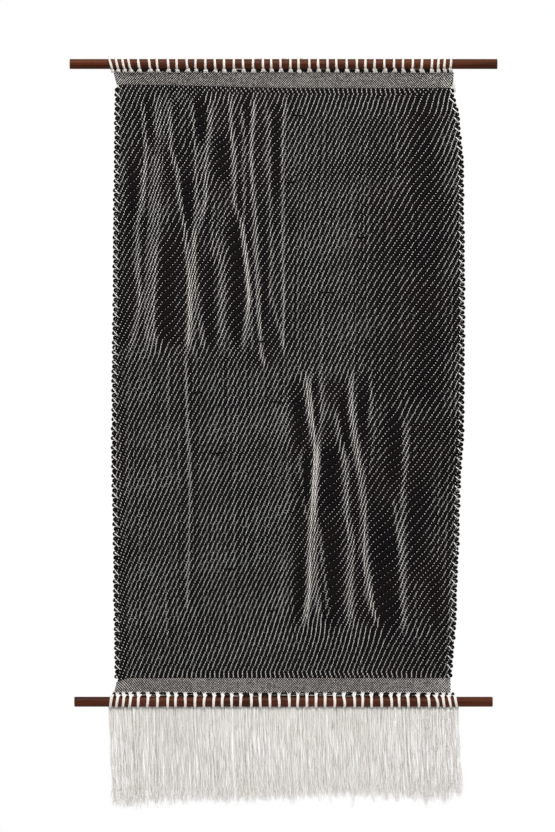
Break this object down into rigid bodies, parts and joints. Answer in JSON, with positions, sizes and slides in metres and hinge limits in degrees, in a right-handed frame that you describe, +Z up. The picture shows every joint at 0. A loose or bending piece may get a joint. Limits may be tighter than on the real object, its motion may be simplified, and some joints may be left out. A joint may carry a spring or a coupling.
{
  "type": "tapestry wall hanging",
  "caption": "Handwoven twill wall hanging: black wool and white cotton cloth tied to a top dowel and a bottom dowel, with a cotton fringe.",
  "frame": {"origin": "middle of the top dowel's axis, at the mount held_by_bare_dowel_ends", "axes": "+Z up, +X along the dowels to the right as seen from the front, the front faces -Y and the wall is on the +Y side"},
  "size_m": [0.684, 0.0208, 1.2007],
  "materials": {
    "dark_wood": "satin dark-stained dowel",
    "black_wool_twill": "bulky black wool weft over white cotton warp, matt",
    "header_tabby": "fine black and white plain weave, matt",
    "white_cotton_warp": "plied natural white cotton, matt",
    "cotton_fringe": "loose cut cotton ends, soft matt"
  },
  "bodies": {
    "top_bar": {"top_dowel": "dark_wood"},
    "upper_cloth": {"top_loops_01": "white_cotton_warp", "top_loops_02": "white_cotton_warp", "top_loops_03": "white_cotton_warp", "top_loops_04": "white_cotton_warp", "top_loops_05": "white_cotton_warp", "top_loops_06": "white_cotton_warp", "top_loops_07": "white_cotton_warp", "top_loops_08": "white_cotton_warp", "top_loops_09": "white_cotton_warp", "top_loops_10": "white_cotton_warp", "top_loops_11": "white_cotton_warp", "top_loops_12": "white_cotton_warp", "top_loops_13": "white_cotton_warp", "top_loops_14": "white_cotton_warp", "top_loops_15": "white_cotton_warp", "top_loops_16": "white_cotton_warp", "top_loops_17": "white_cotton_warp", "top_loops_18": "white_cotton_warp", "top_loops_19": "white_cotton_warp", "top_loops_20": "white_cotton_warp", "top_header": "header_tabby", "upper_field": "black_wool_twill", "upper_left_selvedge": "black_wool_twill", "upper_right_selvedge": "black_wool_twill"},
    "lower_cloth": {"lower_field": "black_wool_twill", "lower_left_selvedge": "black_wool_twill", "lower_right_selvedge": "black_wool_twill", "lower_header": "header_tabby"},
    "bottom_bunches": {"bottom_wraps_01": "white_cotton_warp", "bottom_wraps_02": "white_cotton_warp", "bottom_wraps_03": "white_cotton_warp", "bottom_wraps_04": "white_cotton_warp", "bottom_wraps_05": "white_cotton_warp", "bottom_wraps_06": "white_cotton_warp", "bottom_wraps_07": "white_cotton_warp", "bottom_wraps_08": "white_cotton_warp", "bottom_wraps_09": "white_cotton_warp", "bottom_wraps_10": "white_cotton_warp", "bottom_wraps_11": "white_cotton_warp", "bottom_wraps_12": "white_cotton_warp", "bottom_wraps_13": "white_cotton_warp", "bottom_wraps_14": "white_cotton_warp", "bottom_wraps_15": "white_cotton_warp", "bottom_wraps_16": "white_cotton_warp", "bottom_wraps_17": "white_cotton_warp", "bottom_wraps_18": "white_cotton_warp", "bottom_wraps_19": "white_cotton_warp", "bottom_wraps_20": "white_cotton_warp"},
    "bottom_dowel": {"bottom_dowel": "dark_wood"},
    "fringe": {"fringe_01": "cotton_fringe", "fringe_02": "cotton_fringe", "fringe_03": "cotton_fringe", "fringe_04": "cotton_fringe", "fringe_05": "cotton_fringe", "fringe_06": "cotton_fringe", "fringe_07": "cotton_fringe", "fringe_08": "cotton_fringe", "fringe_09": "cotton_fringe", "fringe_10": "cotton_fringe"}
  },
  "joints": [
    {"name": "cloth_swing", "type": "hinge", "parent": "top_bar", "child": "upper_cloth", "pos_m": [0, 0, 0], "axis": [-1, 0, 0], "range_deg": [0, 60]},
    {"name": "cloth_fold", "type": "hinge", "parent": "upper_cloth", "child": "lower_cloth", "pos_m": [0, -0.0037, -0.5104], "axis": [-1, 0, 0], "range_deg": [0, 150]},
    {"name": "bar_swing", "type": "hinge", "parent": "lower_cloth", "child": "bottom_bunches", "pos_m": [0, 0, -1.0059], "axis": [-1, 0, 0], "range_deg": [-60, 60]},
    {"name": "bottom_dowel_turn", "type": "hinge", "parent": "bottom_bunches", "child": "bottom_dowel", "pos_m": [0, 0, -1.0204], "axis": [1, 0, 0], "continuous": true},
    {"name": "fringe_swing", "type": "hinge", "parent": "bottom_bunches", "child": "fringe", "pos_m": [0, 0, -1.0204], "axis": [-1, 0, 0], "range_deg": [-60, 60]}
  ]
}
